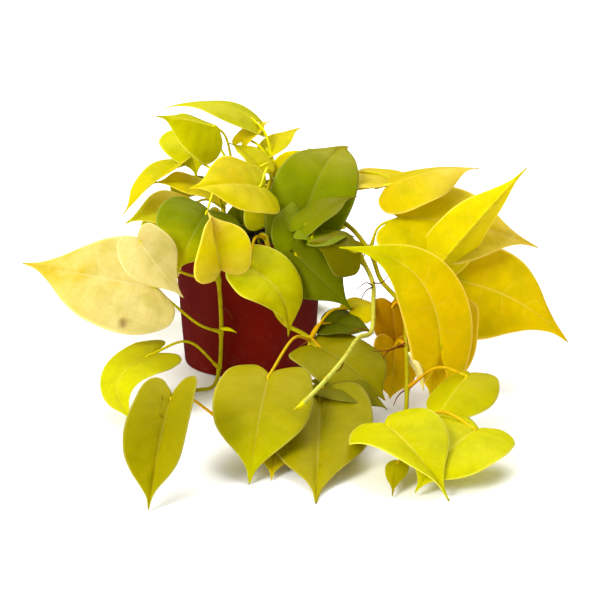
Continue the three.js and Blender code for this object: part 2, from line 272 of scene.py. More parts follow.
random.seed(7)
soil_radius = wall_radius(SOIL_LEVEL) - WALL - SOIL_GAP
foot_radius = wall_radius(POT_FLOOR) - WALL - SOIL_GAP
bm = bmesh.new()
rings = [(soil_radius * i / SOIL_RINGS, SOIL_LEVEL) for i in range(SOIL_RINGS + 1)]
foot = [(foot_radius, POT_FLOOR + SOIL_GAP), (0, POT_FLOOR + SOIL_GAP)]
turned(bm, rings + foot, SOIL_STEPS)
# Only the top is uneven: the sides stay clear of the wall.
for vert in bm.verts:
    if vert.co.z > SOIL_SKIRT * MM:
        x, y = vert.co.x / MM, vert.co.y / MM
        rough = noise.fractal(Vector((x, y, 0)) * CLOD_SCALE, 1.0, 2.2, 4)
        vert.co.z = (soil_top(x, y) + CLOD_HEIGHT * rough - 0.6) * MM
# Loose crumbs, each a small stretched lump that lies any way round.
for i in range(CRUMBS):
    spot = soil_radius * math.sqrt(random.random()) * 0.97
    turn = random.random() * math.tau
    x, y = spot * math.cos(turn), spot * math.sin(turn)
    size = random.uniform(*CRUMB_RADII)
    lump = bmesh.ops.create_icosphere(bm, subdivisions=1, radius=size * MM)["verts"]
    stretch = Matrix.Diagonal((1, random.uniform(0.4, 1), random.uniform(0.4, 0.9), 1))
    lie = Matrix.Rotation(random.random() * math.tau, 4, (random.random(), random.random(), 1))
    lay = Matrix.Translation(Vector((x, y, soil_top(x, y) + 0.2)) * MM) @ lie @ stretch
    bmesh.ops.transform(bm, matrix=lay, verts=lump)

peat, tree, output = new_material("Damp peat mix")
place = add_node(tree, "ShaderNodeTexCoord")
# Crumbs about 3 mm across, some of bark and a few of perlite, under fibres about 1 mm long.
crumbs = add_node(tree, "ShaderNodeTexVoronoi", {"Vector": place.outputs["Object"], "Scale": 330})
crumb_tint = add_node(tree, "ShaderNodeSeparateColor", {0: crumbs.outputs["Color"]})
shade = add_node(tree, "ShaderNodeValToRGB", {0: crumb_tint.outputs[0]})
shade.color_ramp.elements[0].color = linear("#0c0704")
shade.color_ramp.elements[1].color = linear("#7a6c58")
shade.color_ramp.elements[1].position = 1.0
for position, tone in ((0.5, "#1a1009"), (0.85, "#2a1a0e"), (0.985, "#34220f")):
    shade.color_ramp.elements.new(position).color = linear(tone)
fibres = add_node(
    tree,
    "ShaderNodeTexNoise",
    {"Vector": place.outputs["Object"], "Scale": 900, "Detail": 6},
)
soil_bump = add_node(
    tree,
    "ShaderNodeBump",
    {"Strength": 0.8, "Distance": 0.0008, "Height": fibres.outputs["Fac"]},
)
earth = add_node(
    tree,
    "ShaderNodeBsdfPrincipled",
    {
        "Base Color": shade.outputs[0],
        "Roughness": 0.92,
        "Specular IOR Level": 0.2,
        "Normal": soil_bump.outputs[0],
    },
)
tree.links.new(earth.outputs[0], output.inputs[0])
make_piece(bm, "peat", peat, "soil")

# ---------------------------------------- vine 1: over the rim at the front left
# A grown stem of heartleaf philodendron, a few millimetres thick and swollen at each leaf, that
# stands in the peat, hangs over the rim and lies on the table. Each leaf is one thin waxy blade
# on a wiry petiole that runs on under it as the midrib.

STEM_RADIUS = 1.8
STEM_TAPER = 0.25
STEM_SIDES = 10
NODE_RADIUS = 2.5
NODE_REACH = 2.6
RING_STEP = 2.5
BURIED_LEVELS = (80, 91)
PETIOLE_RADIUS = 1.0
PETIOLE_SIDES = 8
PETIOLE_ARCH = 0.22
PETIOLE_END = 3
SHEATH_SWELLING = 0.7
KNEE_SWELLING = 0.25
RIB_RINGS = 14
RIB_END = 0.9
RIB_DROP = 0.5
ROOT_RADIUS = 0.6
ROOT_TAPER = 0.4
ROOT_SIDES = 5
BUD_RINGS = 12
BUD_BOW = 0.08
BLADE_THICKNESS = 0.6
BLADE_BEND = 0.08
RIB_POWER = 1.6
GRID_ACROSS = 26
GRID_ROWS = 46
VEIN_PAIRS = 9
VEIN_SWEEP = 0.22
# How far the halves, the midrib, the tissue between veins and the margin leave the plain blade,
# as parts of its width.
ARCH_RISE = 0.018
RIB_SINK = 0.008
RIB_WIDTH = 0.025
QUILT_RISE = 0.008
WAVE_RISE = 0.028
WAVE_COUNT = 2.6
# Half of the blade's outline from the sinus round to the tip, as parts of its length and width.
HALF_HEART = [
    (0, 0),
    (-0.07, 0.08),
    (-0.13, 0.2),
    (-0.1, 0.36),
    (0.06, 0.475),
    (0.25, 0.5),
    (0.45, 0.44),
    (0.61, 0.31),
    (0.75, 0.15),
    (0.87, 0.045),
    (1, 0),
]
# Leaf and stem tints, from the palest new growth to the oldest leaves.
TINTS = {
    "cream": "#eee29c",
    "straw": "#ecd664",
    "lemon": "#f2e400",
    "yellow": "#e6d600",
    "gold": "#e6ca00",
    # amber is the petioles' own orange; on vine 4's two hanging leaves it is painted shade with a
    # painted glow.
    "amber": "#c49400",
    "citron": "#dcd800",
    "lime": "#bcb000",
    "moss": "#a89e00",
    "fern": "#94a000",
    "olive": "#8e8800",
    "green": "#788000",
    "deep": "#585c00",
    "celery": "#c0c450",
    "bronze": "#b87c08",
    "scar": "#8a5008",
    "bark": "#5c2410",
}


def leaf(node, base, tip, face, width, fold, tints, **shape):
    """One leaf: its node on the stem, its midrib's two ends, the way it faces, its width, the
    degrees that each half is folded up, and its tints from base to tip. Of the rest, bend lifts
    the middle of the midrib and bow moves it sideways, curl folds each half more towards the tip,
    full rounds the blade out, via is a point on the petiole, and marks are brown scars."""
    return {
        "node": node,
        "base": Vector(base),
        "tip": Vector(tip),
        "face": Vector(face),
        "width": width,
        "fold": fold,
        "tints": tints,
        "bend": BLADE_BEND,
        "bow": 0,
        "curl": (0, 0),
        "full": 0,
        "marks": (),
        **shape,
    }


def heart_margin(row):
    """A point of the heart's outline, on a smooth curve through HALF_HEART."""
    at = row * (len(HALF_HEART) - 1)
    i = min(int(at), len(HALF_HEART) - 2)
    t = at - i
    near = [HALF_HEART[max(0, min(len(HALF_HEART) - 1, i + k))] for k in (-1, 0, 1, 2)]
    weights = (
        -0.5 * t**3 + t**2 - 0.5 * t,
        1.5 * t**3 - 2.5 * t**2 + 1,
        -1.5 * t**3 + 2 * t**2 + 0.5 * t,
        0.5 * t**3 - 0.5 * t**2,
    )
    return [sum(w * p[axis] for w, p in zip(weights, near)) for axis in (0, 1)]


def vein_number(across, row):
    """Where the side vein through this place meets the margin, from base (0) to tip (1)."""
    if row < VEIN_SWEEP * across:
        return row / across
    slope = (1 - across) / (1 - VEIN_SWEEP)
    return (row + VEIN_SWEEP * slope) / (slope + across)


def blade_surface(leaf):
    """A function that gives the place and the upward direction of any point of the blade."""
    base, midrib, width = leaf["base"], leaf["tip"] - leaf["base"], leaf["width"]
    length = midrib.length
    side = leaf["face"].cross(midrib).normalized()
    up = midrib.normalized().cross(side)
    curve = up * (leaf["bend"] * length) + side * (leaf["bow"] * length)

    def place(across, row):
        margin_along, margin_out = heart_margin(row)
        on_rib = row**RIB_POWER
        if margin_along > 0:
            margin_along **= 1 / (1 + leaf["full"])
        along = on_rib + (margin_along - on_rib) * abs(across)
        out = margin_out * abs(across) * width
        centre = base + midrib * along + curve * (4 * along * (1 - along))
        tangent = (midrib + curve * (4 * (1 - 2 * along))).normalized()
        side_here = (side - tangent * side.dot(tangent)).normalized()
        up_here = tangent.cross(side_here)
        half = 1 if across > 0 else 0
        fold = math.radians(leaf["fold"][half] + leaf["curl"][half] * max(along, 0))
        outward = side_here * math.copysign(math.cos(fold), across) + up_here * math.sin(fold)
        raised = up_here * math.cos(fold) - side_here * math.copysign(math.sin(fold), across)
        return centre + outward * out, raised

    return place


def relief(leaf, across, row):
    """How far the blade leaves its plain surface: arched halves, sunken veins, a wavy margin."""
    size = leaf["width"]
    out = heart_margin(row)[1] * abs(across) * size
    hump = math.sin(math.pi * abs(across))
    arch = ARCH_RISE * size * hump * math.sin(math.pi * min(1, row * 1.1))
    rib = -RIB_SINK * size * math.exp(-((out / (RIB_WIDTH * size)) ** 2))
    vein = vein_number(abs(across), row) * VEIN_PAIRS
    quilt = QUILT_RISE * size * (math.sin(math.pi * (vein % 1)) ** 0.7) * hump**0.6
    shift = 2 if across > 0 else 0
    wave = math.sin(math.tau * (row * WAVE_COUNT + leaf["seed"] * 0.37) + shift)
    margin = WAVE_RISE * size * wave * across**4 * math.sin(math.pi * row)
    return arch + rib + quilt + margin


def between(shades, part):
    """The colour at a part, from 0 to 1, of the way through a row of shades."""
    at = part * (len(shades) - 1)
    i = min(int(at), len(shades) - 2)
    return [a + (b - a) * (at - i) for a, b in zip(shades[i], shades[i + 1])]


def add_blade(bm, leaf):
    """One blade: a flat grid whose first and last rows close up at the sinus and the tip."""
    tint, vein = bm.verts.layers.float_color["tint"], bm.verts.layers.float_vector["vein"]
    place = blade_surface(leaf)
    shades = [linear(TINTS[name]) for name in leaf["tints"]]
    verts = bmesh.ops.create_grid(bm, x_segments=GRID_ACROSS, y_segments=GRID_ROWS, size=1)["verts"]
    for vert in verts:
        across, row = vert.co.x, (vert.co.y + 1) / 2
        spot, raised = place(across, row)
        spot = spot + raised * relief(leaf, across, row)
        spot.z = max(spot.z, BLADE_THICKNESS)
        vert.co = spot * MM
        # The first and the last tint each hold over a twelfth of the blade.
        vert[tint] = between(shades, min(1, max(0, row * 1.2 - 0.1)))
        for mark_across, mark_row, size in leaf["marks"]:
            near = (place(mark_across, mark_row)[0] - place(across, row)[0]).length / size
            vert[tint] = between([linear(TINTS["scar"]), vert[tint]], min(1, near * near / 2))
        vert[vein] = (abs(across), vein_number(abs(across), row), leaf["seed"] * 0.619 % 1)
    ends = [vert for vert in verts if vert.is_boundary]
    bmesh.ops.remove_doubles(bm, verts=ends, dist=1e-6)


def smooth_path(points, step):
    """Even steps along a centripetal Catmull-Rom curve through the points."""
    knots = [2 * points[0] - points[1], *points, 2 * points[-1] - points[-2]]
    path = [points[0]]
    for a, b, c, d in zip(knots, knots[1:], knots[2:], knots[3:]):
        gaps = [max(1e-6, (q - p).length ** 0.5) for p, q in ((a, b), (b, c), (c, d))]
        leave = (b - a) / gaps[0] - (c - a) / (gaps[0] + gaps[1]) + (c - b) / gaps[1]
        arrive = (c - b) / gaps[1] - (d - b) / (gaps[1] + gaps[2]) + (d - c) / gaps[2]
        leave, arrive = leave * gaps[1], arrive * gaps[1]
        count = max(1, round((c - b).length / step))
        for i in range(1, count + 1):
            t = i / count
            path.append(
                b * (2 * t**3 - 3 * t**2 + 1)
                + leave * (t**3 - 2 * t**2 + t)
                + c * (3 * t**2 - 2 * t**3)
                + arrive * (t**3 - t**2)
            )
    return path


def add_shoot(bm, path, radii, tints, sides=PETIOLE_SIDES):
    """A round shoot: a circle extruded from ring to ring along the path."""
    tint = bm.verts.layers.float_color["tint"]
    shades = [linear(TINTS[name]) for name in tints]
    ahead = (path[1] - path[0]).normalized()
    turn = Vector((0, 0, 1)).rotation_difference(ahead).to_matrix().to_4x4()
    ring = bmesh.ops.create_circle(
        bm,
        cap_ends=True,
        segments=sides,
        radius=radii[0] * MM,
        matrix=Matrix.Translation(path[0] * MM) @ turn,
    )["verts"]
    edges = list({edge for vert in ring for edge in vert.link_edges})
    for vert in ring:
        vert[tint] = shades[0]
    for i in range(1, len(path)):
        after = (path[min(i + 1, len(path) - 1)] - path[i - 1]).normalized()
        swing = ahead.rotation_difference(after).to_matrix().to_4x4()
        move = (
            Matrix.Translation(path[i] * MM)
            @ swing
            @ Matrix.Scale(radii[i] / radii[i - 1], 4)
            @ Matrix.Translation(-path[i - 1] * MM)
        )
        grown = bmesh.ops.extrude_edge_only(bm, edges=edges)["geom"]
        ring = [item for item in grown if isinstance(item, bmesh.types.BMVert)]
        edges = [item for item in grown if isinstance(item, bmesh.types.BMEdge)]
        bmesh.ops.transform(bm, matrix=move, verts=ring)
        ahead = after
        for vert in ring:
            vert[tint] = between(shades, i / (len(path) - 1))
    bmesh.ops.edgeloop_fill(bm, edges=edges)


def add_petiole(bm, route, leaf, tints):
    """The petiole from the stem's node to the blade, then the midrib under the blade."""
    start = Vector(route[leaf["node"]])
    base = leaf["base"]
    arch = Vector((0, 0, (base - start).length * PETIOLE_ARCH))
    via = Vector(leaf["via"]) if "via" in leaf else (start + base) / 2 + arch
    place = blade_surface(leaf)
    length = (leaf["tip"] - base).length
    joint = (PETIOLE_END / length) ** (1 / RIB_POWER)
    path = smooth_path([start, via, place(0, joint)[0]], RING_STEP)
    reach = len(path)
    radii = []
    for i in range(reach):
        sheath = SHEATH_SWELLING * max(0, 1 - i / 4)
        knee = KNEE_SWELLING * max(0, 1 - (reach - i) / 3)
        radii.append(PETIOLE_RADIUS * (1 + sheath + knee))
    for i in range(1, RIB_RINGS + 1):
        row = joint + (RIB_END - joint) * i / RIB_RINGS
        spot, raised = place(0, row)
        spot = spot + raised * (relief(leaf, 0, row) - RIB_DROP)
        spot.z = max(spot.z, 0.8)
        path.append(spot)
        radii.append(PETIOLE_RADIUS * (0.95 - 0.7 * i / RIB_RINGS))
    add_shoot(bm, path, radii, tints)


def add_stem(bm, route, leaves, tints):
    """The stem, from its foot in the peat to its end, swollen at each leaf's node."""
    buried = [Vector((route[0][0], route[0][1], z)) for z in BURIED_LEVELS]
    path = smooth_path(buried + [Vector(spot) for spot in route], RING_STEP)
    nodes = [Vector(route[leaf["node"]]) for leaf in leaves]
    radii = []
    for i, spot in enumerate(path):
        nearest = min((spot - node).length for node in nodes)
        swelling = (NODE_RADIUS - STEM_RADIUS) * math.exp(-((nearest / NODE_REACH) ** 2))
        tapered = STEM_RADIUS * (1 - STEM_TAPER * i / len(path))
        radii.append(tapered + swelling)
    # The last ring is half as wide, so the end is rounded.
    path.append(path[-1] + (path[-1] - path[-2]) * 0.4)
    radii.append(radii[-1] * 0.5)
    add_shoot(bm, path, radii, tints, STEM_SIDES)


def add_roots(bm, roots):
    """Thin brown aerial roots, each through a few points, from its node to its dry end."""
    for points in roots:
        path = smooth_path([Vector(point) for point in points], RING_STEP)
        radii = [ROOT_RADIUS - ROOT_TAPER * i / len(path) for i in range(len(path))]
        add_shoot(bm, path, radii, ("bark", "bark"), ROOT_SIDES)


def add_bud(bm, foot, tip, girth, tints):
    """A pointed sheath or a leaf that is still rolled: a slim spindle."""
    foot, tip = Vector(foot), Vector(tip)
    length = (tip - foot).length
    bow = (tip - foot).cross(Vector((0, 1, 0))).normalized() * length * BUD_BOW
    path = smooth_path([foot, (foot + tip) / 2 + bow, tip], length / BUD_RINGS)
    radii = []
    for i in range(len(path)):
        part = 0.18 + 0.8 * i / (len(path) - 1)
        radii.append(girth * max(0.08, math.sin(math.pi * part**0.8)))
    add_shoot(bm, path, radii, tints)


# Living leaf tissue under a thin wax: softly glossy on top, and it glows where light comes
# through it from behind.
living_leaf, tree, output = new_material("Waxy philodendron leaf")
tint = add_node(tree, "ShaderNodeAttribute", attribute_name="tint")
along = add_node(tree, "ShaderNodeAttribute", attribute_name="vein")
part = add_node(tree, "ShaderNodeSeparateXYZ", {0: along.outputs["Vector"]})
place = add_node(tree, "ShaderNodeTexCoord")
# Side veins: VEIN_PAIRS paler lines on each half, that fade towards the margin.
count = add_node(tree, "ShaderNodeMath", {0: part.outputs[1], 1: VEIN_PAIRS}, operation="MULTIPLY")
distance = add_node(tree, "ShaderNodeMath", {0: count.outputs[0], 1: 0.5}, operation="PINGPONG")
line = add_node(
    tree,
    "ShaderNodeMapRange",
    {0: distance.outputs[0], 1: 0.0, 2: 0.07, 3: 1.0, 4: 0.0},
)
fade = add_node(tree, "ShaderNodeMapRange", {0: part.outputs[0], 1: 0.0, 2: 0.95, 3: 0.18, 4: 0.0})
vein = add_node(
    tree,
    "ShaderNodeMath",
    {0: line.outputs[0], 1: fade.outputs[0]},
    operation="MULTIPLY",
)
rib = add_node(tree, "ShaderNodeMapRange", {0: part.outputs[0], 1: 0.0, 2: 0.04, 3: 0.6, 4: 0.0})
lines = add_node(
    tree,
    "ShaderNodeMath",
    {0: vein.outputs[0], 1: rib.outputs[0]},
    operation="MAXIMUM",
)
# Fine streaks beside the side veins, as the finer veins show through the tissue.
stretched = add_node(
    tree,
    "ShaderNodeVectorMath",
    {0: along.outputs["Vector"], 1: (3, 70, 9)},
    operation="MULTIPLY",
)
streak = add_node(
    tree,
    "ShaderNodeTexNoise",
    {"Vector": stretched.outputs[0], "Scale": 1, "Detail": 3},
)
streaky = add_node(
    tree,
    "ShaderNodeMapRange",
    {0: streak.outputs["Fac"], 1: 0.45, 2: 0.75, 3: 0.0, 4: 0.4},
)
# Patches of greener tissue, about 15 mm across, and a fine mottling of about 1.5 mm.
patch = add_node(
    tree,
    "ShaderNodeTexNoise",
    {"Vector": place.outputs["Object"], "Scale": 62, "Detail": 3, "Roughness": 0.55},
)
patchy = add_node(
    tree,
    "ShaderNodeMapRange",
    {0: patch.outputs["Fac"], 1: 0.45, 2: 0.68, 3: 0.0, 4: 0.65},
)
cells = add_node(tree, "ShaderNodeTexVoronoi", {"Vector": place.outputs["Object"], "Scale": 700})
mottle = add_node(
    tree,
    "ShaderNodeMapRange",
    {0: cells.outputs["Distance"], 1: 0.0, 2: 0.7, 3: 0.3, 4: 0.0},
)
shaded = add_node(
    tree,
    "ShaderNodeMath",
    {0: patchy.outputs[0], 1: streaky.outputs[0]},
    operation="MAXIMUM",
)
greener = add_node(
    tree,
    "ShaderNodeHueSaturation",
    {"Hue": 0.508, "Saturation": 1.3, "Value": 0.76, "Color": tint.outputs["Color"]},
)
# The tissue is golden in uneven patches, and most of all around the midrib.
midst = add_node(tree, "ShaderNodeMapRange", {0: part.outputs[0], 1: 0.05, 2: 0.8, 3: 1.0, 4: 0.35})
patch_tint = add_node(tree, "ShaderNodeSeparateColor", {0: patch.outputs["Color"]})
uneven = add_node(
    tree,
    "ShaderNodeMapRange",
    {0: patch_tint.outputs[1], 1: 0.42, 2: 0.68, 3: 0.0, 4: 1.0},
)
band = add_node(
    tree,
    "ShaderNodeMath",
    {0: midst.outputs[0], 1: uneven.outputs[0]},
    operation="MULTIPLY",
)
warmer = add_node(
    tree,
    "ShaderNodeHueSaturation",
    {"Hue": 0.49, "Saturation": 1.3, "Value": 0.95, "Color": tint.outputs["Color"]},
)
warm = add_node(
    tree,
    "ShaderNodeMix",
    {0: band.outputs[0], 6: tint.outputs["Color"], 7: warmer.outputs[0]},
    data_type="RGBA",
)
with_patches = add_node(
    tree,
    "ShaderNodeMix",
    {0: shaded.outputs[0], 6: warm.outputs[2], 7: greener.outputs[0]},
    data_type="RGBA",
)
with_mottle = add_node(
    tree,
    "ShaderNodeMix",
    {0: mottle.outputs[0], 6: with_patches.outputs[2], 7: greener.outputs[0]},
    data_type="RGBA",
)
paler = add_node(
    tree,
    "ShaderNodeHueSaturation",
    {"Hue": 0.495, "Saturation": 0.9, "Value": 1.18, "Color": tint.outputs["Color"]},
)
with_veins = add_node(
    tree,
    "ShaderNodeMix",
    {0: lines.outputs[0], 6: with_mottle.outputs[2], 7: paler.outputs[0]},
    data_type="RGBA",
)
# Painted light: the thin margin is painted as the palest line of all, where it catches the light
# and lets the most light through.
edge = add_node(tree, "ShaderNodeMapRange", {0: part.outputs[0], 1: 0.94, 2: 0.99, 3: 0.0, 4: 0.85})
painted_rim_light = add_node(
    tree,
    "ShaderNodeHueSaturation",
    {"Hue": 0.5, "Saturation": 0.88, "Value": 1.35, "Color": tint.outputs["Color"]},
)
with_painted_rim_light = add_node(
    tree,
    "ShaderNodeMix",
    {0: edge.outputs[0], 6: with_veins.outputs[2], 7: painted_rim_light.outputs[0]},
    data_type="RGBA",
)
# A few corky brown specks, about 1 mm wide, as any old leaf has.
scatter = add_node(tree, "ShaderNodeTexVoronoi", {"Vector": place.outputs["Object"], "Scale": 75})
speck = add_node(
    tree,
    "ShaderNodeMapRange",
    {0: scatter.outputs["Distance"], 1: 0.035, 2: 0.06, 3: 0.75, 4: 0.0},
)
scatter_tint = add_node(tree, "ShaderNodeSeparateColor", {0: scatter.outputs["Color"]})
seldom = add_node(
    tree,
    "ShaderNodeMath",
    {0: scatter_tint.outputs[0], 1: 0.86},
    operation="GREATER_THAN",
)
specks = add_node(
    tree,
    "ShaderNodeMath",
    {0: speck.outputs[0], 1: seldom.outputs[0]},
    operation="MULTIPLY",
)
colour = add_node(
    tree,
    "ShaderNodeMix",
    {0: specks.outputs[0], 6: with_painted_rim_light.outputs[2], 7: linear("#7a5210")},
    data_type="RGBA",
)
# The cuticle: a thin wax that is smooth between the sunken veins.
skin = add_node(
    tree,
    "ShaderNodeBump",
    {"Strength": 0.25, "Distance": 0.0003, "Height": cells.outputs["Distance"]},
)
gloss = add_node(
    tree,
    "ShaderNodeMapRange",
    {0: patch.outputs["Fac"], 1: 0.3, 2: 0.7, 3: 0.42, 4: 0.52},
)
wax = add_node(
    tree,
    "ShaderNodeBsdfPrincipled",
    {
        "Base Color": colour.outputs[2],
        "Roughness": gloss.outputs[0],
        "IOR": 1.42,
        "Specular IOR Level": 0.2,
        "Specular Tint": linear("#ffec50"),
        "Normal": skin.outputs[0],
    },
)
glow = add_node(tree, "ShaderNodeBsdfTranslucent", {"Color": colour.outputs[2]})
blade = add_node(tree, "ShaderNodeMixShader", {0: 0.48, 1: wax.outputs[0], 2: glow.outputs[0]})
tree.links.new(blade.outputs[0], output.inputs[0])

# The skin of a green shoot: waxy and a little see-through, so it shines softly and has no hard
# shadows, with brownish blotches about 4 mm long.
green_stem, tree, output = new_material("Green stem skin")
tint = add_node(tree, "ShaderNodeAttribute", attribute_name="tint")
place = add_node(tree, "ShaderNodeTexCoord")
blotch = add_node(
    tree,
    "ShaderNodeTexNoise",
    {"Vector": place.outputs["Object"], "Scale": 240, "Detail": 3},
)
blotched = add_node(
    tree,
    "ShaderNodeMapRange",
    {0: blotch.outputs["Fac"], 1: 0.5, 2: 0.75, 3: 0.0, 4: 0.5},
)
skin_colour = add_node(
    tree,
    "ShaderNodeMix",
    {0: blotched.outputs[0], 6: tint.outputs["Color"], 7: linear("#9a6a14")},
    data_type="RGBA",
)
skin_bump = add_node(
    tree,
    "ShaderNodeBump",
    {"Strength": 0.3, "Distance": 0.0004, "Height": blotch.outputs["Fac"]},
)
skin = add_node(
    tree,
    "ShaderNodeBsdfPrincipled",
    {
        "Base Color": skin_colour.outputs[2],
        "Roughness": 0.42,
        "IOR": 1.42,
        "Specular IOR Level": 0.25,
        "Specular Tint": linear("#ffec50"),
        "Subsurface Weight": 0.2,
        "Subsurface Scale": 0.002,
        "Normal": skin_bump.outputs[0],
    },
)
tree.links.new(skin.outputs[0], output.inputs[0])


def grow(vine, route, leaves, stem_tints, petiole_tints, roots=(), buds=()):
    """The two pieces of one vine: its blades, and its stem with petioles, roots and buds."""
    bm = bmesh.new()
    bm.verts.layers.float_color.new("tint")
    bm.verts.layers.float_vector.new("vein")
    for number, each in enumerate(leaves):
        each["seed"] = number + len(vine) + leaves[0]["width"]
        add_blade(bm, each)
    bmesh.ops.recalc_face_normals(bm, faces=bm.faces)
    blades = make_piece(bm, f"{vine}_blades", living_leaf, vine)
    skin = blades.modifiers.new("thickness", "SOLIDIFY")
    skin.thickness = BLADE_THICKNESS * MM
    skin.offset = 0

    bm = bmesh.new()
    bm.verts.layers.float_color.new("tint")
    add_stem(bm, route, leaves, stem_tints)
    for each in leaves:
        add_petiole(bm, route, each, petiole_tints)
    add_roots(bm, roots)
    for bud in buds:
        add_bud(bm, *bud)
    bmesh.ops.recalc_face_normals(bm, faces=bm.faces)
    make_piece(bm, f"{vine}_stems", green_stem, vine)


grow(
    "vine_1",
    [
        (-12, -37, 104), (-14, -48, 109), (-17, -59, 110), (-20, -65, 99), (-19, -64, 80),
        (-18, -63, 60), (-18, -62, 40), (-20, -62, 12), (-24, -78, 3), (-36, -86, 3),
        (-48, -104, 3),
    ],
    [
        leaf(
            3, (-14, -107, 98), (-23, -95, 136), (0.1, -0.95, 0.3), 47, (0, 25),
            ("straw", "lemon", "straw"), full=0.4, curl=(0, 75), via=(-16, -86, 94),
        ),
        leaf(
            4, (-72, -96, 118), (-41, -100, 76), (-0.3, -0.9, 0.35), 40, (0, -35),
            ("cream", "cream"), via=(-44, -74, 88),
        ),
        leaf(
            6, (-60, -84, 79), (-159, -70, 94), (-0.1, -1, 0.3), 76, (-30, 22),
            ("cream", "cream", "straw"), bend=0.06, via=(-33, -76, 50), marks=((0.8, 0.45, 2.2),),
        ),
        leaf(
            7, (-62, -108, 38), (-63, -167, 3), (0.1, -0.7, 0.7), 46, (0, -5),
            ("lime", "citron", "citron"), bow=-0.3, curl=(-110, 60),
        ),
    ],
    ("moss", "moss"),
    ("lime", "citron"),
    roots=[
        ((-18, -63, 60), (-12, -66, 57), (-9, -66, 50)),
        ((-20, -62, 12), (-13, -68, 8), (-10, -74, 2)),
    ],
    buds=[((-18, -63, 43), (-6, -67, 41), 1.5, ("citron", "lime"))],
)

# ---------------------------------------- vine 2: over the rim in front
# The lime-green leaves that stand in front of the pot and lie out on the table, on a stem that
# comes over the rim, runs forward and turns back to the left.

grow(
    "vine_2",
    [
        (10, -31, 104), (12, -43, 109), (15, -56, 110), (17, -63, 105), (19, -64, 96),
        (20, -64, 63), (28, -84, 54), (47, -110, 49), (60, -135, 28), (56, -160, 5), (30, -158, 3),
        (0, -148, 3), (-14, -144, 3),
    ],
    [
        leaf(
            2, (1, -93, 98), (32, -120, 54), (0.3, -0.6, 0.7), 50, (0, 0),
            ("citron", "citron", "lime"), bend=0.05, bow=0.18,
        ),
        leaf(
            7, (20, -170, 44), (10, -244, 1), (0, -0.5, 0.9), 62, (0, 0),
            ("lime", "lime", "citron"), full=0.3, via=(36, -136, 58),
        ),
        leaf(
            7, (76, -80, 62), (100, -64, 60), (0.3, -0.3, 0.9), 28, (-15, -15), ("lemon", "lemon"),
            bend=0.12,
        ),
        leaf(7, (58, -92, 55), (92, -98, 50), (0.1, -0.25, 1), 38, (5, 5), ("deep", "green")),
        leaf(
            7, (51, -114, 46), (97, -150, 19), (0.15, -0.45, 0.9), 56, (0, 0), ("moss", "moss"),
            full=0.8,
        ),
        leaf(
            8, (51, -150, 30), (97, -170, 20), (0.1, -0.1, 1), 36, (0, 0), ("olive", "olive"),
            full=0.6,
        ),
        leaf(
            8, (53, -165, 27), (49, -270, 1), (0, -0.3, 1), 68, (5, 5), ("moss", "lime"),
            bend=-0.03,
        ),
        leaf(10, (26, -195, 8), (23, -238, 1), (0, -0.2, 1), 30, (0, 0), ("straw", "yellow")),
        leaf(
            12, (-36, -225, 50), (-45, -278, 1), (0.1, -0.7, 0.7), 44, (5, 45),
            ("lime", "moss", "lime"), bow=-0.01, full=0.6, via=(-32, -150, 20),
            marks=((-0.33, 0.31, 0.9), (-0.22, 0.36, 0.9), (-0.12, 0.41, 0.9)),
        ),
    ],
    ("moss", "moss"),
    ("amber", "lime"),
    roots=[
        ((47, -110, 49), (38, -112, 42), (36, -112, 34)),
        ((60, -135, 28), (68, -138, 20), (70, -140, 10)),
    ],
    buds=[((47, -110, 49), (42, -116, 25), 1.8, ("lime", "citron"))],
)

# ---------------------------------------- vine 3: over the rim at the front right
# The darkest leaves, in the middle of the crown, and a bare runner that ends in its growing tip,
# still wrapped in a pointed sheath, out in front of the pot.

grow(
    "vine_3",
    [
        (36, -18, 104), (44, -28, 112), (54, -38, 113), (68, -54, 110), (85, -70, 95),
        (92, -78, 81), (92, -86, 70), (89, -112, 55), (80, -128, 56), (69, -165, 54),
        (57, -192, 49), (42, -218, 42),
    ],
    [
        leaf(
            1, (35, -66, 101), (77, -92, 65), (-0.2, -0.8, 0.5), 46, (-5, -10), ("green", "green"),
            via=(38, -50, 109),
        ),
        leaf(2, (46, -75, 112), (80, -54, 110), (0.1, -0.1, 1), 38, (5, 5), ("fern", "fern")),
        leaf(4, (82, -80, 103), (45, -88, 113), (0, -0.35, 0.95), 42, (0, -55), ("olive", "olive")),
        leaf(
            1, (40, -40, 114), (79, 35, 164), (-0.1, -0.75, 0.65), 64, (0, 0),
            ("green", "fern", "lime"), bend=0.22,
        ),
        leaf(2, (37, -59, 104), (38, -24, 136), (0.2, -0.6, 0.8), 38, (-30, -5), ("fern", "fern")),
        leaf(2, (42, -60, 118), (82, -37, 137), (-0.3, -0.3, 0.9), 34, (5, 5), ("fern", "olive")),
        leaf(0, (14, -26, 112), (28, 12, 138), (0, -0.7, 0.8), 38, (10, 10), ("citron", "lime")),
    ],
    ("moss", "celery"),
    ("lime", "moss"),
    roots=[
        ((92, -80, 80), (86, -88, 84), (80, -90, 80)),
        ((92, -80, 79), (86, -89, 78), (83, -90, 72)),
        ((92, -80, 82), (98, -87, 84), (102, -87, 89)),
        ((89, -112, 55), (80, -114, 58), (74, -113, 54)),
        ((69, -165, 54), (66, -168, 47), (61, -167, 44)),
    ],
    buds=[((44, -214, 43), (36, -226, 41), 1.8, ("citron", "lime"))],
)
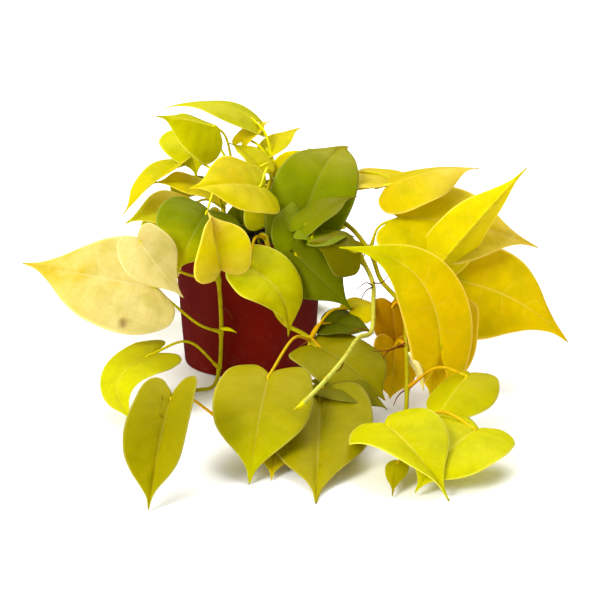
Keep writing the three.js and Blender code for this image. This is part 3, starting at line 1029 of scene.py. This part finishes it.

# ---------------------------------------- vine 4: down to the table at the right
# Two leaves hang beside the pot where little light reaches them; their amber tint is painted shade,
# with a painted yellow-brown glow of light coming through them.
# The bright leaves further out rest on the table.

grow(
    "vine_4",
    [
        (48, -5, 104), (60, -24, 120), (78, -44, 114), (92, -60, 97), (98, -70, 82), (112, -86, 67),
        (113, -118, 45), (110, -160, 31), (108, -185, 14), (112, -205, 4),
    ],
    [
        # The amber of these two leaves is painted shade and a painted glow of light coming through
        # them.
        leaf(
            5, (105, -84, 68), (108, -90, 34), (0.2, -0.95, 0.1), 32, (0, 0), ("amber", "amber"),
            full=0.5,
        ),
        leaf(
            6, (106, -104, 45), (103, -112, 6), (0.2, -0.95, 0.1), 34, (0, 0), ("amber", "gold"),
            full=0.8,
        ),
        leaf(
            8, (92, -210, 26), (125, -267, 1), (-0.1, -0.5, 0.9), 58, (0, -5), ("citron", "citron"),
            bend=0.1, curl=(70, 0),
        ),
        leaf(
            7, (150, -162, 42), (118, -198, 10), (-0.2, -0.6, 0.8), 50, (-40, -5),
            ("lime", "citron"),
        ),
        leaf(
            8, (150, -206, 21), (106, -260, 3), (-0.05, -0.3, 1), 58, (0, 0), ("citron", "citron"),
            full=0.3,
        ),
        leaf(
            9, (99, -230, 9), (93, -261, 1.2), (-0.1, -0.3, 0.9), 14, (-5, -5), ("citron", "lime"),
        ),
    ],
    ("moss", "olive"),
    ("bronze", "citron"),
    roots=[
        ((112, -118, 49), (102, -121, 45), (90, -121, 44)),
        ((112, -118, 47), (101, -122, 45), (96, -122, 37), (98, -122, 27)),
        ((110, -160, 31), (104, -163, 27), (101, -165, 21)),
    ],
    buds=[((114, -122, 43), (124, -134, 20), 3.2, ("cream", "straw"))],
)

# ---------------------------------------- vine 5: out to the right
# The largest and brightest leaves, on long petioles that hold them out past the rim.

grow(
    "vine_5",
    [
        (30, 6, 104), (46, -14, 124), (60, -34, 116), (75, -42, 106), (92, -46, 100),
        (115, -54, 92), (135, -64, 82),
    ],
    [
        leaf(
            1, (123, 0, 140), (64, -30, 140), (0.1, -0.2, 1), 44, (10, 10),
            ("gold", "yellow", "straw"), bend=0.06,
        ),
        leaf(
            1, (104, -30, 143), (174, -20, 155), (-0.2, -0.55, 0.8), 66, (0, -35),
            ("gold", "yellow", "straw"), via=(72, -22, 137),
        ),
        leaf(
            4, (112, -45, 123), (217, -40, 99), (0.2, -0.7, 0.7), 72, (-5, -5),
            ("yellow", "yellow", "straw"), via=(98, -46, 116),
        ),
        leaf(
            6, (136, -80, 90), (201, -60, 161), (-0.3, -0.9, 0.2), 56, (-70, -30),
            ("yellow", "lemon"),
        ),
        leaf(
            6, (136, -124, 43), (65, -100, 112), (-0.1, -0.95, 0.3), 46, (0, 0),
            ("gold", "gold", "citron"), bend=0.05, bow=-0.25, via=(138, -98, 78),
        ),
        leaf(
            6, (146, -60, 80), (236, -70, 35), (0.2, -0.8, 0.6), 76, (-30, -5), ("yellow", "gold"),
            bow=0.06,
        ),
        leaf(
            5, (146, -88, 67), (130, -120, 10), (-0.1, -0.9, 0.5), 48, (0, 0), ("gold", "gold"),
            full=0.8,
        ),
    ],
    ("moss", "lime"),
    ("lime", "citron"),
    roots=[
        ((92, -46, 100), (86, -50, 94), (82, -48, 88)),
    ],
)

# ---------------------------------------- vine 6: the crown's left side
# A short upright stem whose leaves stand to the left, half folded and bright against the light.

grow(
    "vine_6",
    [(-16, 4, 104), (-20, 10, 120), (-18, 16, 138), (-12, 18, 148)],
    [
        leaf(
            3, (-22, -5, 184), (-65, -25, 194), (0.1, -0.8, 0.6), 60, (-50, -20),
            ("citron", "citron"), bend=0.06,
        ),
        leaf(
            3, (-50, 45, 174), (-40, 8, 143), (0.1, -0.6, 0.8), 48, (-5, -5), ("citron", "citron"),
        ),
        leaf(
            2, (-57, 25, 150), (-95, -10, 118), (-0.4, -0.3, 0.9), 42, (10, 20),
            ("citron", "yellow"), bend=0.06,
        ),
        leaf(2, (-27, 25, 131), (-74, -5, 141), (0.3, -0.3, 1), 42, (-5, -5), ("lemon", "lemon")),
        leaf(1, (-47, 20, 118), (-95, -5, 110), (0.2, -0.4, 0.9), 46, (0, 0), ("straw", "citron")),
        leaf(
            1, (-26, -58, 130), (-47, -92, 92), (0, -0.8, 0.6), 66, (-5, -15),
            ("green", "fern", "citron"), bend=0.1,
        ),
    ],
    ("lime", "lime"),
    ("citron", "citron"),
)

# ---------------------------------------- vine 7: the top of the crown
# The highest stem, with one broad leaf to the front and several small young ones above it.

grow(
    "vine_7",
    [(3, 8, 104), (10, 10, 122), (18, 10, 142), (20, 10, 152)],
    [
        leaf(
            2, (13, -40, 144), (-38, -76, 149), (0.4, -0.5, 0.8), 58, (0, 0),
            ("citron", "yellow", "lemon"), bend=0.06,
        ),
        leaf(
            3, (5, 30, 185), (-66, 25, 195), (0.1, -0.5, 0.9), 40, (-15, 0), ("citron", "citron"),
            bend=0.14, curl=(-20, 15),
        ),
        leaf(
            3, (12, 20, 162), (42, 45, 178), (-0.3, -0.3, 0.9), 30, (-5, -5), ("citron", "yellow"),
        ),
        leaf(3, (25, 10, 145), (48, 20, 165), (0.1, -0.9, 0.3), 24, (10, 5), ("lemon", "lemon")),
        leaf(3, (-5, 20, 170), (17, 38, 184), (-0.3, -0.3, 0.9), 24, (5, 5), ("yellow", "yellow")),
        leaf(
            3, (11, -5, 151), (-15, 12, 170), (0.4, -0.3, 0.9), 28, (15, 10), ("yellow", "citron"),
        ),
    ],
    ("lime", "lime"),
    ("citron", "citron"),
)

# ---------------------------------------- vine 8: down behind the pot, to the left
# A trailing stem at the back that lies out on the table, with lime-green leaves.

grow(
    "vine_8",
    [
        (-20, 24, 104), (-27, 42, 112), (-34, 60, 107), (-38, 68, 90), (-40, 74, 60), (-42, 84, 30),
        (-44, 98, 8), (-38, 120, 3), (-28, 140, 3),
    ],
    [
        leaf(3, (-62, 92, 96), (-88, 130, 60), (-0.4, 0.6, 0.7), 58, (5, 5), ("lime", "citron")),
        leaf(4, (-52, 100, 66), (-56, 150, 24), (-0.1, 0.7, 0.7), 60, (5, 5), ("lime", "moss")),
        leaf(
            5, (-75, 100, 40), (-116, 122, 14), (-0.4, 0.5, 0.8), 50, (10, 10), ("lime", "citron"),
        ),
        leaf(7, (-46, 150, 22), (-46, 196, 1), (-0.1, 0.4, 0.9), 56, (5, 5), ("moss", "lime")),
    ],
    ("lime", "lime"),
    ("citron", "lime"),
    roots=[
        ((-40, 74, 60), (-46, 80, 52), (-44, 84, 44)),
        ((-42, 84, 30), (-34, 90, 24), (-30, 92, 14)),
    ],
)

# ---------------------------------------- vine 9: down behind the pot, to the right
# The other trailing stem at the back, shorter, with its leaves close to the pot.

grow(
    "vine_9",
    [
        (20, 27, 104), (26, 44, 112), (30, 61, 107), (34, 68, 88), (34, 74, 55), (30, 84, 25),
        (20, 100, 5), (5, 112, 3), (-8, 122, 3),
    ],
    [
        leaf(3, (50, 88, 98), (66, 122, 70), (0.4, 0.6, 0.7), 54, (5, 5), ("lime", "citron")),
        leaf(4, (38, 104, 62), (34, 152, 20), (0.1, 0.8, 0.6), 58, (5, 5), ("moss", "lime")),
        leaf(5, (0, 106, 40), (-16, 146, 10), (-0.2, 0.6, 0.8), 50, (8, 8), ("lime", "lime")),
        leaf(6, (40, 136, 18), (46, 182, 1), (0.1, 0.4, 0.9), 54, (5, 5), ("lime", "moss")),
    ],
    ("lime", "lime"),
    ("citron", "lime"),
    roots=[
        ((34, 74, 55), (40, 82, 48), (38, 84, 40)),
    ],
)

# ---------------------------------------- vine 10: the back of the crown
# Three darker leaves on a short stem close the crown behind, and a small one stands at its foot;
# its deep green is painted shade where the middle of the crown lies in shadow.

grow(
    "vine_10",
    [(0, 30, 104), (2, 40, 118), (8, 50, 128), (16, 60, 130)],
    [
        leaf(1, (-28, 58, 132), (-70, 92, 104), (-0.3, 0.5, 0.8), 58, (5, 5), ("green", "lime")),
        leaf(2, (-5, 80, 128), (-12, 130, 92), (0, 0.6, 0.8), 60, (5, 5), ("olive", "lime")),
        leaf(3, (32, 82, 130), (62, 112, 104), (0.4, 0.5, 0.8), 52, (5, 5), ("green", "moss")),
        # Painted shade: a small deep-green leaf set where the middle of the crown lies in shadow.
        leaf(0, (-3, -14, 107), (-9, -4, 130), (0.1, -0.8, 0.6), 28, (5, 5), ("deep", "green")),
    ],
    ("lime", "lime"),
    ("lime", "lime"),
)

# ---------------------------------------- table, lights and camera
# A seamless white table top under soft studio light: a key from the upper left, and one from
# overhead and behind that shines through the leaves.

TABLE_METRES = 400
KEY_POWER = 3.0
OVERHEAD_POWER = 2.3
LENS = 67.5
SENSOR = 36
CAMERA_SPOT = (0.040, -0.856, 0.278)
CAMERA_TILT = 74.95

bm = bmesh.new()
bmesh.ops.create_grid(bm, x_segments=1, y_segments=1, size=TABLE_METRES / 2)
floor_mesh = bpy.data.meshes.new("table_top")
bm.to_mesh(floor_mesh)
bm.free()
floor = bpy.data.objects.new("table_top", floor_mesh)
bpy.context.scene.collection.objects.link(floor)
# Uncoated paper, almost white and without any shine.
paper, tree, output = new_material("White studio paper")
matt = add_node(
    tree,
    "ShaderNodeBsdfPrincipled",
    {"Base Color": linear("#f6f6f4"), "Roughness": 0.9},
)
tree.links.new(matt.outputs[0], output.inputs[0])
floor_mesh.materials.append(paper)
# A sheet this bright would whiten the pot's edges, where its skin mirrors the most.
floor.visible_glossy = False

for name, spot, spread, power in (
    ("key from the left", (-1.0, -0.8, 0.9), 28, KEY_POWER),
    ("overhead from behind", (0.25, 0.6, 1.2), 45, OVERHEAD_POWER),
):
    sun = bpy.data.lights.new(name, "SUN")
    sun.angle = math.radians(spread)
    sun.energy = power
    lamp = bpy.data.objects.new(name, sun)
    lamp.location = spot
    lamp.rotation_euler = (-Vector(spot)).to_track_quat("-Z", "Y").to_euler()
    bpy.context.scene.collection.objects.link(lamp)

# The room is dimmer than the white it shows behind the table, darker towards the right, and dark
# where the leaves and the pot mirror it.
studio = bpy.data.worlds.new("Studio")
studio.use_nodes = True
tree = studio.node_tree
seen = add_node(tree, "ShaderNodeLightPath")
towards = add_node(tree, "ShaderNodeTexCoord")
sides = add_node(tree, "ShaderNodeSeparateXYZ", {0: towards.outputs["Generated"]})
gloom = add_node(
    tree,
    "ShaderNodeMapRange",
    {0: sides.outputs[0], 1: -1.0, 2: 1.0, 3: 1.0, 4: 0.45},
)
mirrored = add_node(
    tree,
    "ShaderNodeMapRange",
    {0: seen.outputs["Is Glossy Ray"], 1: 0.0, 2: 1.0, 3: gloom.outputs[0], 4: 0.04},
)
shine = add_node(
    tree,
    "ShaderNodeMapRange",
    {0: seen.outputs["Is Camera Ray"], 1: 0.0, 2: 1.0, 3: mirrored.outputs[0], 4: 1.0},
)
room = add_node(
    tree,
    "ShaderNodeBackground",
    {"Color": linear("#ffffff"), "Strength": shine.outputs[0]},
)
tree.links.new(room.outputs[0], tree.nodes["World Output"].inputs["Surface"])
bpy.context.scene.world = studio
bpy.context.scene.view_settings.view_transform = "Standard"

camera_data = bpy.data.cameras.new("Camera")
camera_data.lens = LENS
camera_data.sensor_width = SENSOR
camera = bpy.data.objects.new("Camera", camera_data)
camera.location = CAMERA_SPOT
camera.rotation_euler = (math.radians(CAMERA_TILT), 0, 0)
bpy.context.scene.collection.objects.link(camera)
bpy.context.scene.camera = camera
